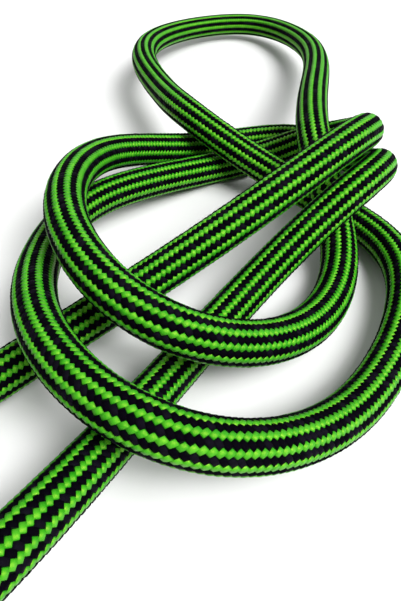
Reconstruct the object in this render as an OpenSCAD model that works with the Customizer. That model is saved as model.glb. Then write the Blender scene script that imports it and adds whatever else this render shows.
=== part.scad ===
/* [Rope] */
// Diameter over the sheath
rope_d = 10; // [8.5:0.1:10]
// Thickness of the braided sheath
sheath_wall = 0.9; // [0.6:0.1:1]
// Slack between the core and the sheath
core_slack = 0.55; // [0.5:0.05:0.8]
// Width of the marker tape laid in beside the core
tape_w = 0.9; // [0.5:0.1:0.9]
// Thickness of the marker tape
tape_t = 0.3; // [0.2:0.1:0.3]

/* [Rope ends] */
// Length of the shrink sleeve on each end
sleeve_l = 25; // [15:1:28]
// Wall of the shrink sleeve
sleeve_wall = 0.4; // [0.3:0.1:0.4]
// Thickness of the fused tip
seal_t = 3; // [1.5:0.5:4]

/* [Storage coil] */
// Radius of the outermost turn, to the middle of the rope
coil_r = 140.5; // [130:0.5:150]
// Turns in each layer
coil_turns = 7; // [5:1:9]
// Layers
coil_layers = 6; // [4:1:8]
// Spacing of turns and of layers
coil_pitch = 10.1; // [10.1:0.1:10.5]
// Angle of the last stretch that lies on top of the coil
tail_angle = 60; // [40:1:70]

/* [Coil ties] */
// Width of a tie
tie_w = 20; // [12:1:25]
// Thickness of a tie
tie_t = 1.4; // [1:0.1:1.6]
// Clearance between a tie and the coil
tie_gap = 0.4; // [0.3:0.1:0.6]

/* [Hidden] */
$fn = 96;

rope_r = rope_d / 2;
sheath_inner_r = rope_r - sheath_wall;

// Seven equal core strands, one in the middle and six round it, a small gap between neighbours.
strand_gap = 0.25;
strand_r = (sheath_inner_r - core_slack - strand_gap) / 3;
strand_lay_r = 2 * strand_r + strand_gap;
tape_lay_r = strand_lay_r + 0.9;
strand_sides = 6;
sheath_sides = 12;

sleeve_fit = 0.05;
sleeve_r = rope_r + sleeve_fit + sleeve_wall;
seal_r = rope_r - 0.1;

// The free end a lies straight on the surface, and end_dir points from its tip into the rope.
end_tip = [62, -157, 5.5];
end_dir = [0.6, 0.8, 0];
end_step = 30;

// Control points of the loose loops, in order from end a to the coil. The rope's middle line is
// their uniform cubic B-spline, so it passes inside each corner and not through the points.
loops = [
    [116, -90, 5], [146, -63, 8], [182, -44, 23], [214, -20, 35], [223, 5, 20.5],
    [209, 22, 11], [183, 20, 1], [141, -16, 14], [129, -35, 9], [136, -82, 23],
    [166, -112, 24], [204, -92, 2], [228, -49, 8], [220, -17, 3], [190, 2, 10],
    [164, 19, 23], [159, 42, 17], [148, 69, 18], [146, 102, 15], [156, 135, 10],
    [175, 157, 7], [197, 161, 7], [214, 141, 9], [222, 98, 14], [213, 47, 21],
    [200, -9, 27.5], [214, -34, 0.6], [194, -75, 8], [160, -87, 26], [136, -51, 29],
    [138, -3, 21], [170, 24, 4], [208, 37, 7], [229, 14, 2], [221, -25, 29],
    [196, -39, 14], [164, -73, -1], [138, -134, 22], [112, -150, 14], [74, -144, 22.5]
];
loops_lift = 0.25;

// The rope meets the coil at coil_join, running along -X in the coil's lowest layer.
coil_join = [-84, -136, 5.3];
stub_l = 75;
lead_step = 25;

route = concat(
    [for (k = [0:2]) end_tip + k * end_step * end_dir],
    [for (p = loops) p + [0, 0, loops_lift]],
    [for (k = [2:-1:0]) coil_join + [stub_l + k * lead_step, 0, 0]]
);
spans = len(route) - 1;
ghosted = concat([2 * route[0] - route[1]], route, [2 * route[spans] - route[spans - 1]]);

function unit(v) = v / norm(v);
function on_curve(i, u) = (
    pow(1 - u, 3) * ghosted[i]
    + (3 * pow(u, 3) - 6 * pow(u, 2) + 4) * ghosted[i + 1]
    + (-3 * pow(u, 3) + 3 * pow(u, 2) + 3 * u + 1) * ghosted[i + 2]
    + pow(u, 3) * ghosted[i + 3]
) / 6;
function heading(i, u) = unit(
    -pow(1 - u, 2) * ghosted[i]
    + (3 * pow(u, 2) - 4 * u) * ghosted[i + 1]
    + (-3 * pow(u, 2) + 2 * u + 1) * ghosted[i + 2]
    + pow(u, 2) * ghosted[i + 3]
);
function angle_between(a, b) = acos(min(1, a * b));
function bend(i) = angle_between(heading(i, 0), heading(i, 0.5))
    + angle_between(heading(i, 0.5), heading(i, 1));
function reach(i) = norm(on_curve(i, 0) - on_curve(i, 0.5)) + norm(on_curve(i, 0.5) - on_curve(i, 1));
function rings_in(i) = max(1, ceil(bend(i) / 28), ceil(reach(i) / 46));

stations = concat(
    [for (i = [0:spans - 1]) for (j = [0:rings_in(i) - 1]) [i, j / rings_in(i)]],
    [[spans - 1, 1]]
);
rings = len(stations);
centres = [for (s = stations) on_curve(s[0], s[1])];
headings = [for (s = stations) heading(s[0], s[1])];
sides = [for (h = headings) unit(cross(h, [0, 0, 1]))];
ups = [for (k = [0:rings - 1]) cross(sides[k], headings[k])];

function polygon_points(middle, r, n) = [
    for (j = [0:n - 1]) middle + r * [cos(360 * j / n), sin(360 * j / n)]
];
function placed(section) = [
    for (k = [0:rings - 1]) for (p = section) centres[k] + p[0] * sides[k] + p[1] * ups[k]
];
// Triangles of a skin between ring k and ring k + 1, n points a ring, numbered from first on.
function skin(first, n) = [
    for (k = [0:rings - 2]) for (j = [0:n - 1]) each [
        [first + k * n + j, first + k * n + (j + 1) % n, first + (k + 1) * n + (j + 1) % n],
        [first + k * n + j, first + (k + 1) * n + (j + 1) % n, first + (k + 1) * n + j]
    ]
];
function flipped(faces) = [for (f = faces) [f[0], f[2], f[1]]];
function fan(first, n) = [for (j = [1:n - 2]) [first, first + j, first + j + 1]];
// Triangles between an outer and an inner ring of n points, facing back along the rope.
function annulus(outer, inner, n) = [
    for (j = [0:n - 1]) each [
        [outer + j, inner + j, inner + (j + 1) % n],
        [outer + j, inner + (j + 1) % n, outer + (j + 1) % n]
    ]
];

// Outside of the coil: a ring whose corners are cut as the outermost turns are round.
coil_centre = [coil_join[0], coil_join[1] + coil_r, 0];
coil_out = coil_r + rope_r + 0.1;
coil_in = coil_r - coil_turns * coil_pitch - rope_r;
coil_top = (coil_layers - 1) * coil_pitch + rope_d + 0.2;
corner_cut = 0.58 * rope_r;
tail_z = coil_top + sleeve_r + 0.05;
tail_end = -20;
tie_angles = [90, 210, 330];

// The ties pass under the coil in shallow channels.
tie_floor = 0.1;
channel_h = tie_floor + tie_t + tie_gap;
tie_in = sqrt(pow(coil_in, 2) - pow(tie_w / 2, 2)) - tie_gap;
tie_out = coil_out + tie_gap;
tie_top = coil_top + tie_gap;

function cut_corners(x0, x1, z0, z1, c) = [
    [x0 + c, z0], [x1 - c, z0], [x1, z0 + c], [x1, z1 - c],
    [x1 - c, z1], [x0 + c, z1], [x0, z1 - c], [x0, z0 + c]
];

module swept(section) {
    n = len(section);
    last = (rings - 1) * n;
    polyhedron(
        points = placed(section),
        faces = concat(skin(0, n), flipped(fan(0, n)), fan(last, n)),
        convexity = 20
    );
}

module rope_sheath() {
    n = sheath_sides;
    inner = rings * n;
    last = (rings - 1) * n;
    color([0.22, 0.62, 0.16])
    polyhedron(
        points = concat(
            placed(polygon_points([0, 0], rope_r, n)),
            placed(polygon_points([0, 0], sheath_inner_r, n))
        ),
        faces = concat(
            skin(0, n),
            flipped(skin(inner, n)),
            annulus(0, inner, n),
            flipped(annulus(last, inner + last, n))
        ),
        convexity = 20
    );
}

module core_strand(middle) {
    color([0.93, 0.93, 0.9])
    swept(polygon_points(middle, strand_r, strand_sides));
}

module outer_strand(k) {
    core_strand(strand_lay_r * [cos(60 * k), sin(60 * k)]);
}

module core_strand_1() {
    core_strand([0, 0]);
}

module core_strand_2() {
    outer_strand(0);
}

module core_strand_3() {
    outer_strand(1);
}

module core_strand_4() {
    outer_strand(2);
}

module core_strand_5() {
    outer_strand(3);
}

module core_strand_6() {
    outer_strand(4);
}

module core_strand_7() {
    outer_strand(5);
}

module marker_tape() {
    along = [cos(90), sin(90)];
    across = [-sin(90), cos(90)];
    mid = tape_lay_r * along;
    color([0.95, 0.85, 0.2])
    swept([
        mid - tape_t / 2 * along - tape_w / 2 * across,
        mid + tape_t / 2 * along - tape_w / 2 * across,
        mid + tape_t / 2 * along + tape_w / 2 * across,
        mid - tape_t / 2 * along + tape_w / 2 * across
    ]);
}

// The fused tip: a flat face against the cut end, and a rounded rim beyond it.
module seal() {
    rotate_extrude()
    polygon([
        [0, 0], [seal_r, 0], [seal_r, seal_t * 0.5], [seal_r - 0.3, seal_t * 0.75],
        [seal_r - 0.9, seal_t * 0.93], [seal_r - 1.8, seal_t], [0, seal_t]
    ]);
}

module end_sleeve_a() {
    color([0.08, 0.08, 0.09])
    translate(end_tip)
    rotate([0, 90, atan2(end_dir[1], end_dir[0])])
    difference() {
        cylinder(h = sleeve_l, r = sleeve_r);
        translate([0, 0, -1])
        cylinder(h = sleeve_l + 2, r = rope_r + sleeve_fit);
    }
}

module end_seal_a() {
    color([0.1, 0.12, 0.1])
    translate(end_tip)
    rotate([0, 90, atan2(-end_dir[1], -end_dir[0])])
    seal();
}

module rope_coil() {
    color([0.2, 0.55, 0.15])
    difference() {
        union() {
            translate(coil_centre)
            rotate_extrude()
            polygon(cut_corners(coil_in, coil_out, 0, coil_top, corner_cut));
            translate(coil_join)
            rotate([0, 90, 0])
            cylinder(h = stub_l, r = rope_r);
        }
        for (a = tie_angles) {
            translate(coil_centre)
            rotate([0, 0, a])
            translate([coil_in - 5, -tie_w / 2 - 0.5, -1])
            cube([coil_out - coil_in + 10, tie_w + 1, channel_h + 1]);
        }
    }
}

module on_tail(start, angle) {
    translate([coil_centre[0], coil_centre[1], tail_z])
    rotate([0, 0, start])
    rotate_extrude(angle = angle)
    translate([coil_r, 0])
    children();
}

module coil_tail() {
    color([0.22, 0.62, 0.16])
    on_tail(tail_end, tail_angle)
    circle(r = rope_r);
}

module end_sleeve_b() {
    color([0.08, 0.08, 0.09])
    on_tail(tail_end, sleeve_l / coil_r * 180 / PI)
    difference() {
        circle(r = sleeve_r);
        circle(r = rope_r + sleeve_fit);
    }
}

module end_seal_b() {
    color([0.1, 0.12, 0.1])
    translate([coil_centre[0], coil_centre[1], tail_z])
    rotate([0, 0, tail_end])
    translate([coil_r, 0, 0])
    rotate([90, 0, 0])
    seal();
}

module coil_tie(a) {
    color([0.12, 0.12, 0.13])
    translate(coil_centre)
    rotate([0, 0, a])
    rotate([90, 0, 0])
    linear_extrude(tie_w, center = true)
    difference() {
        polygon(cut_corners(tie_in - tie_t, tie_out + tie_t, tie_floor, tie_top + tie_t, corner_cut));
        polygon(cut_corners(tie_in, tie_out, tie_floor + tie_t, tie_top, corner_cut - 0.8));
    }
}

module coil_tie_1() {
    coil_tie(tie_angles[0]);
}

module coil_tie_2() {
    coil_tie(tie_angles[1]);
}

module coil_tie_3() {
    coil_tie(tie_angles[2]);
}

rope_sheath();
core_strand_1();
core_strand_2();
core_strand_3();
core_strand_4();
core_strand_5();
core_strand_6();
core_strand_7();
marker_tape();
end_sleeve_a();
end_seal_a();
rope_coil();
coil_tail();
end_sleeve_b();
end_seal_b();
coil_tie_1();
coil_tie_2();
coil_tie_3();
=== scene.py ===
"""A dynamic climbing rope: a few loose crossing loops, and the rest of its 30 m in a tied coil.

Lengths are in millimetres, and become metres where a mesh is made.
"""

import math

import bpy
import numpy as np
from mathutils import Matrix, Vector


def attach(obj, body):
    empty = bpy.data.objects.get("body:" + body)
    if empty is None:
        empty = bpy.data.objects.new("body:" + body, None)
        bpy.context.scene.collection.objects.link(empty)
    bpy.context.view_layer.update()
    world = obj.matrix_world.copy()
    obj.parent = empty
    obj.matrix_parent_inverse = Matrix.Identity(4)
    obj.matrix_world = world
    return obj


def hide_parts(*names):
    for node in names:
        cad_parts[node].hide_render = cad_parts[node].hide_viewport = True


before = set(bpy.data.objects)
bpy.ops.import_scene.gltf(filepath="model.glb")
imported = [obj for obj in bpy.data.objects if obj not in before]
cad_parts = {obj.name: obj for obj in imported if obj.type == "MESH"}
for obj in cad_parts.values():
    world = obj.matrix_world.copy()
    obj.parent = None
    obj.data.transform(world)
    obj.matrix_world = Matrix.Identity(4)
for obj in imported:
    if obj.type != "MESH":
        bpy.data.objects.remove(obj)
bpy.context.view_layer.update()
scene = bpy.context.scene
rng = np.random.default_rng(7)

MM = 0.001
WHITE = (1, 1, 1)

# ---------------------------------------------------------------- the rope's own sizes
ROPE_R = 5.0
CROWN_R = 5.08  # over the crown of a yarn
SHADE_BED_R = 4.62  # the dark tube under the yarns, painted shade where it shows between them
LAY = 28.0  # length of one turn of a yarn round the rope
YARNS = 20  # columns of yarn picks round the rope, green and black by turns
ROW = LAY / YARNS  # spacing of the yarn picks along a column
COLUMN = 2 * math.pi / YARNS

# ---------------------------------------------------------------- the route, as in part.scad
END_TIP = np.array([62, -157, 5.5])
END_DIR = np.array([0.6, 0.8, 0.0])
END_STEP = 30
LOOPS = [
    (116, -90, 5), (146, -63, 8), (182, -44, 23), (214, -20, 35), (223, 5, 20.5),
    (209, 22, 11), (183, 20, 1), (141, -16, 14), (129, -35, 9), (136, -82, 23),
    (166, -112, 24), (204, -92, 2), (228, -49, 8), (220, -17, 3), (190, 2, 10),
    (164, 19, 23), (159, 42, 17), (148, 69, 18), (146, 102, 15), (156, 135, 10),
    (175, 157, 7), (197, 161, 7), (214, 141, 9), (222, 98, 14), (213, 47, 21),
    (200, -9, 27.5), (214, -34, 0.6), (194, -75, 8), (160, -87, 26), (136, -51, 29),
    (138, -3, 21), (170, 24, 4), (208, 37, 7), (229, 14, 2), (221, -25, 29),
    (196, -39, 14), (164, -73, -1), (138, -134, 22), (112, -150, 14), (74, -144, 22.5),
]
LOOPS_LIFT = 0.25
SPLINE_STEPS = 48  # points from one control point to the next
COIL_JOIN = np.array([-84, -136, 5.3])  # where the rope starts to wind
STUB = 75  # the straight run into the coil
STUB_STEP = 2.5
LEAD_STEP = 25  # between the last control points, which lie in line with the stub

COIL_R = 140.5  # middle line of the outermost turn
TURNS, LAYERS, PITCH = 7, 6, 10.1
CLIMB = 40  # degrees in which the rope climbs from one layer to the next
COIL_Z = 5.12
COIL_X, COIL_Y = COIL_JOIN[0], COIL_JOIN[1] + COIL_R
COIL_TOP = (LAYERS - 1) * PITCH + 10.2
COIL_START = 270  # degrees
LAST_DEG = 90  # the climb onto the top, and the stretch that lies there
LAST_Z = 4.95  # the last stretch's middle line above the coil's top
SLEEVE_RISE = 0.55  # more of it under the end's sleeve, which is thicker than the rope
SLEEVE_RISE_FROM, SLEEVE_RISE_OVER = 20, 12  # degrees before the end, and degrees of rise

TIES = (90, 210, 330)  # degrees round the coil
TIE_LIFT, TIE_SPREAD = 1.6, 9  # millimetres, and degrees to either side


# ---------------------------------------------------------------- camera
camera = bpy.data.objects.new("camera", bpy.data.cameras.new("camera"))
scene.collection.objects.link(camera)
camera.location = (0.171, -0.156, 0.0989)
camera.rotation_euler = (math.radians(90 - 42.56), 0, 0)
camera.data.sensor_fit = "AUTO"
camera.data.sensor_width = 36
camera.data.lens = 33.44
camera.data.clip_start = 0.005
camera.data.clip_end = 50
scene.camera = camera


# ---------------------------------------------------------------- the rope's middle line
def smooth(x):
    x = np.clip(x, 0, 1)
    return x * x * (3 - 2 * x)


def spline(points, per):
    """A cubic B-spline that starts at the first point and ends at the last one."""
    p = np.array(points, float)
    g = np.vstack([2 * p[0] - p[1], p, 2 * p[-1] - p[-2]])
    u = (np.arange(per) / per)[:, None]
    out = [
        (
            (1 - u) ** 3 * g[i]
            + (3 * u**3 - 6 * u**2 + 4) * g[i + 1]
            + (-3 * u**3 + 3 * u**2 + 3 * u + 1) * g[i + 2]
            + u**3 * g[i + 3]
        )
        / 6
        for i in range(len(p) - 1)
    ]
    return np.vstack([*out, p[-1]])


def coil_points():
    """Flat spirals, one on another and wound inwards and outwards by turns, one point a degree."""
    layer_deg = 360 * TURNS
    whole = LAYERS * (layer_deg + CLIMB) - CLIMB
    a = np.arange(0, whole + LAST_DEG + 0.5, 1.0)
    k = np.minimum(a // (layer_deg + CLIMB), LAYERS - 1)
    local = a - k * (layer_deg + CLIMB)
    share = np.clip(local / layer_deg, 0, 1)
    inner = COIL_R - TURNS * PITCH
    inwards = COIL_R - (COIL_R - inner) * share
    outwards = inner + (COIL_R - inner) * share
    r = np.where(k % 2 == 0, inwards, outwards)
    phi = COIL_START - a
    z = COIL_Z + PITCH * k + PITCH * smooth((local - layer_deg) / CLIMB)
    sleeve = smooth((a - whole - LAST_DEG + SLEEVE_RISE_FROM) / SLEEVE_RISE_OVER)
    top = COIL_TOP + LAST_Z + SLEEVE_RISE * sleeve
    last = COIL_Z + PITCH * (LAYERS - 1)
    z = np.where(a > whole, last + (top - last) * smooth((a - whole) / CLIMB), z)
    # The ties lift the lower layers a little where they pass under the coil.
    for angle in TIES:
        off = (phi - angle + 180) % 360 - 180
        low = np.clip(1 - k / (LAYERS - 1), 0, 1)
        z = z + TIE_LIFT * np.exp(-((off / TIE_SPREAD) ** 2)) * low
    f = np.radians(phi)
    return np.column_stack([COIL_X + r * np.cos(f), COIL_Y + r * np.sin(f), z])


route = [END_TIP + k * END_STEP * END_DIR for k in range(3)]
route += [np.array(p, float) + [0, 0, LOOPS_LIFT] for p in LOOPS]
route += [COIL_JOIN + [STUB + k * LEAD_STEP, 0, 0] for k in (2, 1, 0)]
loose = spline(route, SPLINE_STEPS)
stub_x = np.arange(STUB - STUB_STEP, 0, -STUB_STEP)
stub_z = COIL_Z + (COIL_JOIN[2] - COIL_Z) * smooth(stub_x / STUB)
stub = np.column_stack([COIL_JOIN[0] + stub_x, np.full(len(stub_x), COIL_JOIN[1]), stub_z])
rough = np.vstack([loose, stub, coil_points()])
rough_s = np.concatenate([[0], np.cumsum(np.linalg.norm(np.diff(rough, axis=0), axis=1))])
LENGTH = rough_s[-1]
LOOSE_END = rough_s[len(loose) - 1]

# One point a millimetre, with a frame that never rolls: SIDE is level, and UP is square to both.
S = np.linspace(0, LENGTH, int(LENGTH) + 1)
LINE = np.column_stack([np.interp(S, rough_s, rough[:, i]) for i in range(3)])
ahead = np.gradient(LINE, axis=0)
ahead = np.vstack([ahead[:1], (ahead[:-2] + 2 * ahead[1:-1] + ahead[2:]) / 4, ahead[-1:]])
AHEAD = ahead / np.linalg.norm(ahead, axis=1)[:, None]
side = np.cross(AHEAD, [0, 0, 1.0])
SIDE = side / np.linalg.norm(side, axis=1)[:, None]
UP = np.cross(SIDE, AHEAD)


def along(table, s):
    return np.stack([np.interp(s, S, table[:, i]) for i in range(3)], axis=-1)


def on_rope(s, angle, radius):
    """Points at arc length s, angle round the rope and radius from its middle line.

    Past an end of the rope the line runs straight on.
    """
    held = np.clip(s, 0, LENGTH)
    p = along(LINE, held) + along(AHEAD, held) * (s - held)[..., None]
    out = (
        np.cos(angle)[..., None] * along(SIDE, held)
        + np.sin(angle)[..., None] * along(UP, held)
    )
    return p + radius[..., None] * out


# ---------------------------------------------------------------- mesh helpers
CAP_EYE = 0.02  # what a cap leaves open, as a share of its inner ring


def pair(u, v):
    """UVs from two arrays that broadcast to one shape."""
    return np.stack(np.broadcast_arrays(u, v), axis=-1)


class Build:
    """Gathers grids of quads, each with its material index and UVs, into one mesh."""

    def __init__(self):
        self.points, self.faces, self.slots, self.uvs, self.n = [], [], [], [], 0

    def add(self, points, faces, slots, uvs=None):
        points = np.asarray(points, float).reshape(-1, 3)
        faces = np.asarray(faces, int)
        self.points.append(points)
        self.faces.append(faces + self.n)
        self.slots.append(np.broadcast_to(np.asarray(slots, int), (len(faces),)))
        if uvs is None:
            uvs = np.zeros((len(points), 2))
        self.uvs.append(np.asarray(uvs, float).reshape(-1, 2)[faces])
        self.n += len(points)

    def tube(self, grid, slots, uvs=None, around=True, flip=False):
        """grid is rings by points by 3. around closes each ring."""
        rings, n = grid.shape[:2]
        k = np.arange(rings - 1)[:, None]
        j = np.arange(n if around else n - 1)[None, :]
        j2 = (j + 1) % n
        f = np.stack([k * n + j, (k + 1) * n + j, (k + 1) * n + j2, k * n + j2], axis=-1)
        if flip:
            f = f[..., ::-1]
        s = np.asarray(slots)
        s = np.broadcast_to(s, f.shape[:2]) if s.ndim < 2 else s
        self.add(grid, f.reshape(-1, 4), s.reshape(-1), uvs)

    def cap(self, ring, slot, flip=False):
        """Draws a ring of points in to its middle, down to an eye too small to see."""
        ring = np.asarray(ring)
        middle = ring.mean(0)
        half = (ring + middle) / 2
        self.tube(np.stack([ring, half, half * CAP_EYE + middle * (1 - CAP_EYE)]), slot, flip=flip)

    def caps(self, grid, slot, flip=False):
        self.cap(grid[0], slot, flip=not flip)
        self.cap(grid[-1], slot, flip=flip)

    def mesh(self, name, materials):
        me = bpy.data.meshes.new(name)
        p = np.vstack(self.points) * MM
        f = np.vstack(self.faces)
        me.vertices.add(len(p))
        me.vertices.foreach_set("co", p.astype(np.float32).ravel())
        me.loops.add(f.size)
        me.loops.foreach_set("vertex_index", f.astype(np.int32).ravel())
        me.polygons.add(len(f))
        me.polygons.foreach_set("loop_start", np.arange(0, f.size, 4, dtype=np.int32))
        me.polygons.foreach_set("material_index", np.concatenate(self.slots).astype(np.int32))
        me.polygons.foreach_set("use_smooth", np.full(len(f), True))
        uv = me.uv_layers.new(name="weave")
        uv.data.foreach_set("uv", np.vstack(self.uvs).astype(np.float32).ravel())
        for m in materials:
            me.materials.append(m)
        me.update(calc_edges=True)
        me.validate()
        ob = bpy.data.objects.new(name, me)
        scene.collection.objects.link(ob)
        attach(ob, "root")
        return ob


# ---------------------------------------------------------------- materials
def principled(name, colour, roughness, **inputs):
    m = bpy.data.materials.new(name)
    m.use_nodes = True
    b = m.node_tree.nodes["Principled BSDF"]
    b.inputs["Base Color"].default_value = (*colour, 1)
    b.inputs["Roughness"].default_value = roughness
    for key, value in inputs.items():
        b.inputs[key.replace("_", " ")].default_value = value
    return m


def node(m, kind, **settings):
    n = m.node_tree.nodes.new(kind)
    for key, value in settings.items():
        if key in n.inputs:
            n.inputs[key].default_value = value
        else:
            setattr(n, key, value)
    return n


def link(m, a, out, b, inp):
    m.node_tree.links.new(a.outputs[out], b.inputs[inp])


RIB_SCALE = (1.2, 9.0, 1.0)  # along a pick, and across it
RIB_SLANT = 0.12
FUZZ_SHARE = 0.25


def yarn(name, colour, tint, roughness=0.42, gloss=0.8, sheen=0.0):
    """Plied filament yarn: fine ribs along each pick from its own UVs, and a soft fuzz."""
    m = principled(
        name,
        colour,
        roughness,
        Sheen_Weight=sheen,
        Sheen_Roughness=0.45,
        Sheen_Tint=(*tint, 1),
        Specular_IOR_Level=gloss,
        Specular_Tint=(*tint, 1),
    )
    uv = node(m, "ShaderNodeUVMap", uv_map="weave")
    lay = node(m, "ShaderNodeMapping", Scale=RIB_SCALE, Rotation=(0, 0, RIB_SLANT))
    ribs = node(m, "ShaderNodeTexNoise", Scale=1.0, Detail=3.0, Roughness=0.6)
    fuzz = node(m, "ShaderNodeTexNoise", Scale=9000.0, Detail=2.0)
    where = node(m, "ShaderNodeTexCoord")
    add = node(m, "ShaderNodeMath", operation="MULTIPLY_ADD")
    add.inputs[1].default_value = FUZZ_SHARE
    bump = node(m, "ShaderNodeBump", Strength=0.55, Distance=0.00012)
    link(m, uv, "UV", lay, "Vector")
    link(m, lay, "Vector", ribs, "Vector")
    link(m, where, "Object", fuzz, "Vector")
    link(m, fuzz, "Fac", add, 0)
    link(m, ribs, "Fac", add, 2)
    link(m, add, "Value", bump, "Height")
    link(m, bump, "Normal", m.node_tree.nodes["Principled BSDF"], "Normal")
    return m


GREENS = [
    yarn("yarn_green", (0.020, 0.262, 0.006), (0.95, 1.0, 0.15)),
    yarn("yarn_green_light", (0.030, 0.288, 0.008), (1.0, 1.0, 0.15)),
    yarn("yarn_green_deep", (0.012, 0.232, 0.005), (0.9, 1.0, 0.15)),
]
BLACKS = [
    yarn("yarn_black", (0.0012, 0.0008, 0.0020), (0.6, 0.6, 0.8), 0.7, 0.02),
    yarn("yarn_black_worn", (0.0024, 0.0018, 0.0040), (0.6, 0.6, 0.8), 0.65, 0.05),
]
# Painted shade: a near-black green for the tube under the picks, standing in for the shadow
# between them.
SHADE_BED = yarn("yarn_shadow", (0.003, 0.010, 0.003), (0.5, 0.5, 0.5), 0.9, 0.05)
ROPE_MATERIALS = [*GREENS, *BLACKS, SHADE_BED]
GREEN, BLACK, SHADOW = 0, len(GREENS), len(GREENS) + len(BLACKS)


# ---------------------------------------------------------------- the braid
TILT = math.atan(2 * math.pi * ROPE_R / LAY)
FLOAT_HALF = 0.87  # half the length of yarn that shows between two dives
YARN_HALF = 0.58  # half its width, pressed against the yarns beside it
LONG = np.array([-1.0, -0.85, 0.0, 0.85, 1.0]) * FLOAT_HALF
WIDE = np.array([-1.0, -0.7, 0.7, 1.0]) * YARN_HALF
DIVE = 0.46  # how far a yarn has sunk where the other colour begins
GROOVE = 0.30  # and across it, towards the next yarn of its own colour
# Which way each colour turns, where along the rope its rows start, how big a pick is and how much
# higher it lies, its first material and each material's share.
LAYS = (
    (1, 0.35, 1.02, 0, GREEN, (0.5, 0.25, 0.25)),
    (-1, 1.05, 1.04, 0.03, BLACK, (0.7, 0.3)),
)
# How far the picks stray: along the rope, round it, in slant and in height.
STRAY_S, STRAY_ANGLE, STRAY_LEAN, STRAY_RISE = 0.03, 0.004, 0.02, 0.018

BED_SIDES, BED_STEP = 14, 2.5
WOUND_STEP = 1.75  # rings of the coiled length
WOUND_STAGGER = 0.045  # radians by which a ring is turned one way, and the next one the other
WOUND_END_R = SHADE_BED_R + 0.1  # so that its ends tuck in under the picks


def picks(build, start, stop):
    """Every yarn pick whose middle lies between two arc lengths.

    Columns of one lay and colour alternate with columns of the other.
    """
    rows = np.arange(math.ceil(start / ROW), math.floor(stop / ROW))
    n = len(rows)
    t, w = np.meshgrid(LONG, WIDE, indexing="ij")
    height = -DIVE * np.abs(t / FLOAT_HALF) ** 9 - GROOVE * np.abs(w / YARN_HALF) ** 3
    wide = len(WIDE)
    i, j = np.meshgrid(np.arange(len(LONG) - 1), np.arange(wide - 1), indexing="ij")
    corners = [i * wide + j, i * wide + j + 1, (i + 1) * wide + j + 1, (i + 1) * wide + j]
    quads = np.stack(corners, axis=-1).reshape(-1, 4)
    for column in range(YARNS):
        turn, first, size, rise, colour, shares = LAYS[column % 2]
        s0 = rows * ROW + first + rng.normal(0, STRAY_S, n)
        a0 = column * COLUMN + COLUMN / 4 + rng.normal(0, STRAY_ANGLE, n)
        lean = TILT + rng.normal(0, STRAY_LEAN, n)[:, None, None]
        ds = size * (t * np.cos(lean) - w * np.sin(lean))
        dx = size * (t * np.sin(lean) + w * np.cos(lean))
        radius = CROWN_R + rise + height + rng.normal(0, STRAY_RISE, n)[:, None, None]
        grid = on_rope(s0[:, None, None] + ds, a0[:, None, None] + turn * dx / ROPE_R, radius)
        facing = quads if turn > 0 else quads[:, ::-1]
        faces = (np.arange(n)[:, None, None] * t.size + facing[None]).reshape(-1, 4)
        slot = colour + rng.choice(len(shares), n, p=shares)
        uv = pair(t[None] + rng.uniform(0, 50, n)[:, None, None], w[None] / YARN_HALF)
        build.add(grid, faces, np.repeat(slot, len(quads)), uv)


def shade_bed(build, start, stop):
    """The tube under the picks, coloured as painted shade: it shows as dark shadow in the gaps
    between them.
    """
    s = np.linspace(start, stop, int((stop - start) / BED_STEP) + 2)
    a = np.arange(BED_SIDES) * 2 * math.pi / BED_SIDES
    ss, aa = np.meshgrid(s, a, indexing="ij")
    grid = on_rope(ss, aa, np.full(ss.shape, SHADE_BED_R))
    build.tube(grid, SHADOW, pair(ss, aa))
    build.caps(grid, SHADOW)
    return s


def wound(build, start, stop):
    """The coiled length: the same twenty columns, with their edges stepping from ring to ring."""
    count = int((stop - start) / WOUND_STEP)
    s = np.linspace(start, stop, count)
    a = (np.arange(YARNS) + 0.5) * COLUMN + COLUMN / 4
    ss, aa = np.meshgrid(s, a, indexing="ij")
    aa = aa + np.where(np.arange(count) % 2 == 0, WOUND_STAGGER, -WOUND_STAGGER)[:, None]
    rr = np.full(ss.shape, ROPE_R)
    rr[0] = rr[-1] = WOUND_END_R
    grid = on_rope(ss, aa, rr)
    column = (np.arange(YARNS) + 1) % YARNS
    green = GREEN + rng.integers(0, len(GREENS), (count - 1, YARNS))
    black = BLACK + rng.integers(0, len(BLACKS), (count - 1, YARNS))
    slots = np.where(column % 2 == 0, green, black)
    build.tube(grid, slots, pair(ss * 0.8, aa * ROPE_R))
    # The coiled length's end caps, tucked under the picks, take the painted shade too.
    build.caps(grid, SHADOW)
    return s


FINE_END = LOOSE_END + STUB + 60  # where the picks stop, a little way into the coil
TAIL_START = LENGTH - 260  # and start again, for the stretch on top of the coil
INSET = 0.6  # by which the picks stop short of a tip, and the coiled length runs under them
rope_build = Build()
bed_a = shade_bed(rope_build, 0.0, FINE_END)
picks(rope_build, INSET, FINE_END)
turns_s = wound(rope_build, FINE_END - INSET, TAIL_START + INSET)
bed_b = shade_bed(rope_build, TAIL_START, LENGTH)
picks(rope_build, TAIL_START, LENGTH - INSET)
rope = rope_build.mesh("rope", ROPE_MATERIALS)
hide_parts("rope_sheath", "rope_coil", "coil_tail")


# ---------------------------------------------------------------- inside the sheath
STRANDS = 7
STRAND_R, STRAND_LAY = 1.1, 2.45  # a core strand's radius, and its distance from the middle line
TAPE_LAY = 3.35
TAPE_HALF_W, TAPE_HALF_T = 0.45, 0.15
CORE_START, CORE_STEP = 0.5, 6


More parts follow.
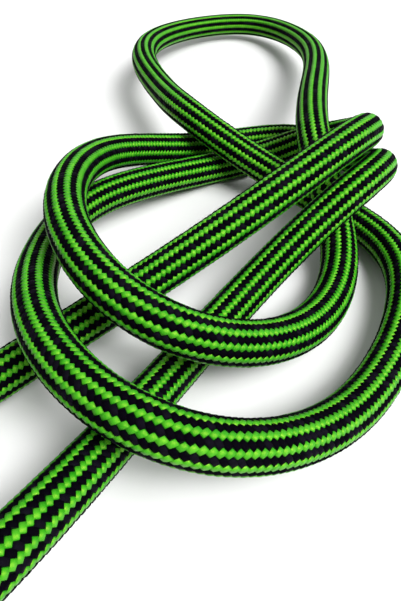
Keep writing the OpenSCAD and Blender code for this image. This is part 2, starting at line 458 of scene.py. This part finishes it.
def laid_in(name, angle, offset, section, material):
    """A strand of one cross-section beside the rope's middle line, from end a to the coil."""
    s = np.linspace(CORE_START, LOOSE_END, int(LOOSE_END / CORE_STEP))
    middle = on_rope(s, np.full(len(s), angle), np.full(len(s), offset))
    across, up = along(SIDE, s), along(UP, s)
    grid = (
        middle[:, None]
        + section[None, :, :1] * across[:, None]
        + section[None, :, 1:] * up[:, None]
    )
    b = Build()
    b.tube(grid, 0, pair(s[:, None], np.arange(len(section))[None] * 0.8))
    b.caps(grid, 0)
    ob = b.mesh(name, [material])
    return ob


CORE_YARN = yarn("core_filament", (0.72, 0.71, 0.68), WHITE, 0.6, sheen=0.2)
TAPE = principled("tape_film", (0.75, 0.62, 0.12), 0.4)
eight = np.radians(np.arange(8) * 45)
strand_ring = STRAND_R * np.column_stack([np.cos(eight), np.sin(eight)])
for k in range(STRANDS):
    angle, offset = math.radians(60 * (k - 1)), 0 if k == 0 else STRAND_LAY
    strand = laid_in(f"core_bundle_{k + 1}", angle, offset, strand_ring, CORE_YARN)
    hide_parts(f"core_strand_{k + 1}")
tape_ring = np.array([(1, -1), (1, 1), (-1, 1), (-1, -1)]) * [TAPE_HALF_W, TAPE_HALF_T]
tape = laid_in("marker_ribbon", math.pi / 2, TAPE_LAY, tape_ring, TAPE)
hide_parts("marker_tape")


# ---------------------------------------------------------------- the two ends
TURNED_SIDES = 40
SLEEVE_L = 25
SLEEVE_R = 5.45


def turned(name, tip, into, profile, material, lumps):
    """A skin turned round the rope, made uneven by low waves as high as lumps.

    profile is (distance into the rope from its tip, radius).
    """
    u, r = np.array(profile, float).T
    a = np.arange(TURNED_SIDES) * 2 * math.pi / TURNED_SIDES
    uu, aa = np.meshgrid(u, a, indexing="ij")
    rr = np.broadcast_to(r[:, None], uu.shape)
    waves = np.sin(3 * aa + 1.1 * uu) + 0.6 * np.sin(5 * aa - 0.7 * uu + 1.3)
    rr = rr + lumps * waves * np.clip(rr / 4, 0, 1)
    grid = on_rope(tip + into * uu, aa, rr)
    b = Build()
    b.tube(grid, 0, pair(uu, aa * ROPE_R), flip=into < 0)
    ob = b.mesh(name, [material])
    return ob


def polymer(name, colour, roughness, grain, depth):
    """Moulded or melted plastic, with uneven gloss and a shallow bump of one grain."""
    m = principled(name, colour, roughness, Specular_IOR_Level=0.4)
    where = node(m, "ShaderNodeTexCoord")
    noise = node(m, "ShaderNodeTexNoise", Scale=grain, Detail=4.0)
    spread = node(m, "ShaderNodeMapRange")
    spread.inputs["To Min"].default_value = roughness - 0.08
    spread.inputs["To Max"].default_value = roughness + 0.12
    bump = node(m, "ShaderNodeBump", Strength=0.5, Distance=depth)
    link(m, where, "Object", noise, "Vector")
    link(m, noise, "Fac", spread, "Value")
    link(m, noise, "Fac", bump, "Height")
    shader = m.node_tree.nodes["Principled BSDF"]
    link(m, spread, "Result", shader, "Roughness")
    link(m, bump, "Normal", shader, "Normal")
    return m


SHRINK = polymer("shrink_film", (0.012, 0.012, 0.014), 0.42, 900.0, 0.00006)
MELT = polymer("fused_sheath", (0.008, 0.028, 0.006), 0.36, 1400.0, 0.0002)
# The sleeve: a rolled lip at the tip, the braid showing through as low ripples, and a turned edge.
skin = [(0.3, 4.7), (0.05, 5.05), (0.15, 5.3), (0.6, 5.42), (1.6, SLEEVE_R)]
skin += [(k, SLEEVE_R + 0.05 * math.sin(1.9 * k)) for k in range(3, SLEEVE_L - 2, 2)]
skin += [
    (SLEEVE_L - 1.5, 5.46),
    (SLEEVE_L - 0.4, 5.44),
    (SLEEVE_L - 0.05, 5.34),
    (SLEEVE_L, 5.2),
    (SLEEVE_L - 0.2, 4.9),
]
# The fused tip, from its middle out to the sheath: a shallow dome, dished in the middle.
dome = [(-2.68, 0.02), (-2.7, 0.6), (-2.85, 1.5), (-3.0, 2.6), (-2.9, 3.5), (-2.6, 4.2)]
dome += [(-2.1, 4.62), (-1.4, 4.86), (-0.6, 4.9), (0.1, 4.85), (0.6, 4.6)]
end_parts = []
for letter, tip, into in (("a", 0.0, 1), ("b", LENGTH, -1)):
    film = turned(f"shrink_sleeve_{letter}", tip, into, skin, SHRINK, 0.025)
    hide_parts(f"end_sleeve_{letter}")
    fused = turned(f"fused_tip_{letter}", tip, into, dome, MELT, 0.06)
    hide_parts(f"end_seal_{letter}")
    end_parts += [film, fused]


# ---------------------------------------------------------------- the hook-and-loop ties
STRAP_W, STRAP_T = 20, 1.3
STRAP_IN, STRAP_OUT = 63.0, 146.7  # from the coil's middle
STRAP_LOW, STRAP_TOP = 0.8, 61.8
STRAP_CORNER = 5.0
STRAP_START, STRAP_STOP = 92, 26  # distance out of its hidden end, and height of its free end
LAP_GAP = 0.15  # between the two thicknesses
LAP_BEFORE, LAP_OVER = 5, 6  # how far before the overlap the strap starts to rise, and over what
FREE_END_R = 6  # the free end's round corners
STITCH_R, STITCH_HALF, STITCH_PROUD = 0.22, 0.7, 0.05
STITCH_ROW = 7.0  # from the strap's middle
STITCH_FIRST, STITCH_LAST = 18, 8  # from the free end


def webbing(name, colour):
    m = principled(
        name, colour, 0.75, Specular_IOR_Level=0.2, Sheen_Weight=0.15, Sheen_Roughness=0.5
    )
    uv = node(m, "ShaderNodeUVMap", uv_map="weave")
    rows = node(m, "ShaderNodeTexWave", Scale=0.45, Distortion=0.6, bands_direction="DIAGONAL")
    fuzz = node(m, "ShaderNodeTexNoise", Scale=2.2, Detail=3.0)
    mixed = node(m, "ShaderNodeMath", operation="ADD")
    bump = node(m, "ShaderNodeBump", Strength=0.6, Distance=0.00025)
    link(m, uv, "UV", rows, "Vector")
    link(m, uv, "UV", fuzz, "Vector")
    link(m, rows, "Fac", mixed, 0)
    link(m, fuzz, "Fac", mixed, 1)
    link(m, mixed, "Value", bump, "Height")
    link(m, bump, "Normal", m.node_tree.nodes["Principled BSDF"], "Normal")
    return m


def strap_line():
    """Once round the coil and on over its own start, as (radius, height) with outward normals."""
    x0, x1 = STRAP_IN + STRAP_CORNER, STRAP_OUT - STRAP_CORNER
    z0, z1 = STRAP_LOW + STRAP_CORNER, STRAP_TOP - STRAP_CORNER
    corners = [(x1, z1, 90), (x1, z0, 0), (x0, z0, -90), (x0, z1, 180)]
    line, normal = [], []

    def arc(cx, cz, start):
        for d in np.linspace(0, 90, 7):
            n = np.array([math.cos(math.radians(start - d)), math.sin(math.radians(start - d))])
            line.append(np.array([cx, cz]) + STRAP_CORNER * n)
            normal.append(n)

    def along_top(x_from, x_to, steps):
        for x in np.linspace(x_from, x_to, steps):
            line.append(np.array([x, STRAP_TOP]))
            normal.append(np.array([0.0, 1.0]))

    along_top(STRAP_START, x1 - 1, 8)
    for corner in corners:
        arc(*corner)
    along_top(x0 + 1, x1 - 1, 14)
    arc(*corners[0])
    for z in np.linspace(z1 - 2, STRAP_STOP, 8):
        line.append(np.array([STRAP_OUT, z]))
        normal.append(np.array([1.0, 0.0]))
    return np.array(line), np.array(normal)


WEBBING = webbing("strap_webbing", (0.020, 0.020, 0.023))
STITCH = principled("strap_stitching", (0.10, 0.10, 0.11), 0.6)


def tie(number, angle):
    line, normal = strap_line()
    run = np.concatenate([[0], np.cumsum(np.linalg.norm(np.diff(line, axis=0), axis=1))])
    total = run[-1]
    round_coil = (
        2 * (STRAP_OUT - STRAP_IN + STRAP_TOP - STRAP_LOW)
        - 8 * STRAP_CORNER
        + 2 * math.pi * STRAP_CORNER
    )
    lift = (STRAP_T + LAP_GAP) * smooth((run - round_coil + LAP_BEFORE) / LAP_OVER)
    centre = line + normal * lift[:, None]
    # Half the width, which follows a quarter circle at each corner of the free end.
    into_round = np.clip(FREE_END_R - (total - run), 0, FREE_END_R)
    rounded = np.sqrt(np.clip(FREE_END_R**2 - into_round**2, 0.3, None))
    half = np.minimum(STRAP_W / 2, rounded + STRAP_W / 2 - FREE_END_R)
    thin = np.where((run < 0.1) | (run > total - 0.1), 0.35, 0.5) * STRAP_T
    across = np.array([-1.0, -0.96, -0.5, 0.5, 0.96, 1.0])
    depth = np.array([0.45, 0.96, 1.0, 1.0, 0.96, 0.45])
    outer = np.stack([across, depth], axis=-1)
    ring = np.vstack([outer, outer[::-1] * [1, -1]])

    f = math.radians(angle)
    middle = np.array([COIL_X, COIL_Y, 0])
    radial = np.array([math.cos(f), math.sin(f), 0])
    sideways = np.array([-math.sin(f), math.cos(f), 0])
    off = centre[:, None] + ring[None, :, 1:] * thin[:, None, None] * normal[:, None]
    grid = (
        middle
        + off[..., :1] * radial
        + off[..., 1:] * np.array([0, 0, 1.0])
        + (ring[None, :, 0] * half[:, None])[..., None] * sideways
    )
    b = Build()
    b.tube(
        grid, 0, pair(run[:, None], ring[None, :, 0] * STRAP_W / 2 + ring[None, :, 1]), flip=True
    )
    b.caps(grid, 0, flip=True)

    # Two rows of stitches near the free end, each a short raised thread.
    hexagon = np.radians(np.arange(6) * 60)
    for row in (-STITCH_ROW, STITCH_ROW):
        for place in np.linspace(total - STITCH_FIRST, total - STITCH_LAST, 6):
            ends = place + np.array([-STITCH_HALF, STITCH_HALF])
            thread = []
            for x, z in zip(*(np.interp(ends, run, centre[:, i]) for i in range(2))):
                out = x + (STRAP_T / 2 + STITCH_PROUD)
                mid = middle + out * radial + np.array([0, 0, z]) + row * sideways
                turn = [math.cos(q) * radial + math.sin(q) * sideways for q in hexagon]
                thread.append([mid + STITCH_R * way for way in turn])
            thread = np.array(thread)
            b.tube(thread, 1)
            b.caps(thread, 1)
    ob = b.mesh(f"hook_loop_tie_{number}", [WEBBING, STITCH])
    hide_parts(f"coil_tie_{number}")


for number, angle in enumerate(TIES, 1):
    tie(number, angle)


# ---------------------------------------------------------------- floor and light
FLOOR_EDGES, FLOOR_Z = (-30000.0, 30000.0), -0.1

floor_build = Build()
floor_grid = np.array([[[x, y, FLOOR_Z] for y in FLOOR_EDGES] for x in FLOOR_EDGES])
floor_build.tube(floor_grid, 0, around=False)
FLOOR_PAPER = principled("floor_paper", (0.66, 0.66, 0.66), 0.8, Specular_IOR_Level=0.2)
floor = floor_build.mesh("floor", [FLOOR_PAPER])


def area_light(name, at, look, size, watts):
    lamp = bpy.data.lights.new(name, "AREA")
    lamp.shape = "DISK"
    lamp.size = size
    lamp.energy = watts
    ob = bpy.data.objects.new(name, lamp)
    scene.collection.objects.link(ob)
    ob.location = at
    d = np.array(look, float) - np.array(at, float)
    tilt = math.atan2(math.hypot(d[0], d[1]), -d[2])
    ob.rotation_euler = (tilt, 0, math.atan2(d[1], d[0]) - math.pi / 2)


area_light("key", (0.55, -0.5, 0.65), (0.15, -0.05, 0), 0.3, 5)
area_light("fill", (-0.7, -0.2, 1.0), (0.12, 0, 0), 0.9, 2)
area_light("back", (0.1, 1.2, 0.9), (0.12, 0, 0), 0.8, 3)
window = bpy.data.lights.new("window", "SUN")
window.energy = 3.9
window.angle = math.radians(40)
daylight = bpy.data.objects.new("window", window)
daylight.rotation_euler = Vector((0.5, -0.4, 0.85)).to_track_quat("Z", "Y").to_euler()
scene.collection.objects.link(daylight)

# The room lights the rope dimly from all round, and is seen as plain white paper.
world = bpy.data.worlds.new("studio")
scene.world = world
world.use_nodes = True
dim = world.node_tree.nodes["Background"]
dim.inputs["Color"].default_value = (*WHITE, 1)
dim.inputs["Strength"].default_value = 0.38
paper = node(world, "ShaderNodeBackground", Color=(*WHITE, 1))
seen = node(world, "ShaderNodeLightPath")
either = node(world, "ShaderNodeMixShader")
link(world, seen, "Is Camera Ray", either, 0)
link(world, dim, "Background", either, 1)
link(world, paper, "Background", either, 2)
link(world, either, "Shader", world.node_tree.nodes["World Output"], "Surface")
scene.view_settings.view_transform = "Standard"

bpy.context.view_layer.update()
faces = len(rope.data.polygons)
print("rope length mm", round(LENGTH, 1), "loose", round(LOOSE_END, 1), "faces", faces)
